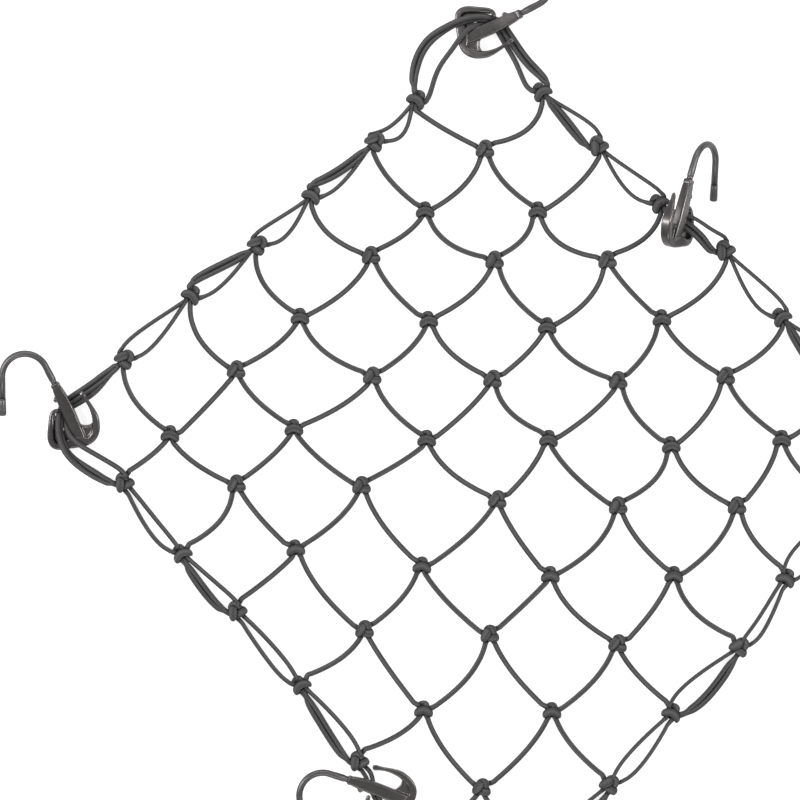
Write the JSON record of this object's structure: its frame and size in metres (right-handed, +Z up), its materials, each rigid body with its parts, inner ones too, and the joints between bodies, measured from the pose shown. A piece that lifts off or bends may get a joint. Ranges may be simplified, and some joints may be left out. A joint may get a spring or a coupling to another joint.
{
  "type": "elastic cargo net",
  "caption": "Square elastic cargo net of knotted dark cord lying flat, with a doubled cord edge and plastic clips that carry bent wire hooks.",
  "frame": {"origin": "bottom centre of the net's bounding box, on the floor it lies on", "axes": "+Z up, out of the floor. The net's sides run along X and Y: the left corner hook is at low X and low Y, the top corner at low X and high Y."},
  "size_m": [0.4985, 0.5104, 0.0532],
  "materials": {
    "cord": "matt braided sheath",
    "clip": "satin moulded",
    "wire": "gloss coated",
    "cap": "gloss"
  },
  "bodies": {
    "root": {"mesh_cord_left_1": "cord", "mesh_cord_left_2": "cord", "mesh_cord_left_3": "cord", "mesh_cord_left_4": "cord", "mesh_cord_left_5": "cord", "mesh_cord_left_6": "cord", "mesh_cord_right_1": "cord", "mesh_cord_right_2": "cord", "mesh_cord_right_3": "cord", "mesh_cord_right_4": "cord", "mesh_cord_right_5": "cord", "mesh_cord_right_6": "cord", "edge_cords_top_left": "cord", "edge_cords_top_right": "cord", "edge_cords_bottom_left": "cord", "edge_cords_bottom_right": "cord", "clip_left": "clip", "clip_top": "clip", "clip_right": "clip", "clip_bottom": "clip", "clip_top_right": "clip", "clip_bottom_left": "clip", "wire_left": "wire", "wire_top": "wire", "wire_right": "wire", "wire_bottom": "wire", "wire_top_right": "wire", "wire_bottom_left": "wire", "cap_left": "cap", "cap_top": "cap", "cap_right": "cap", "cap_bottom": "cap", "cap_top_right": "cap", "cap_bottom_left": "cap"}
  },
  "joints": []
}
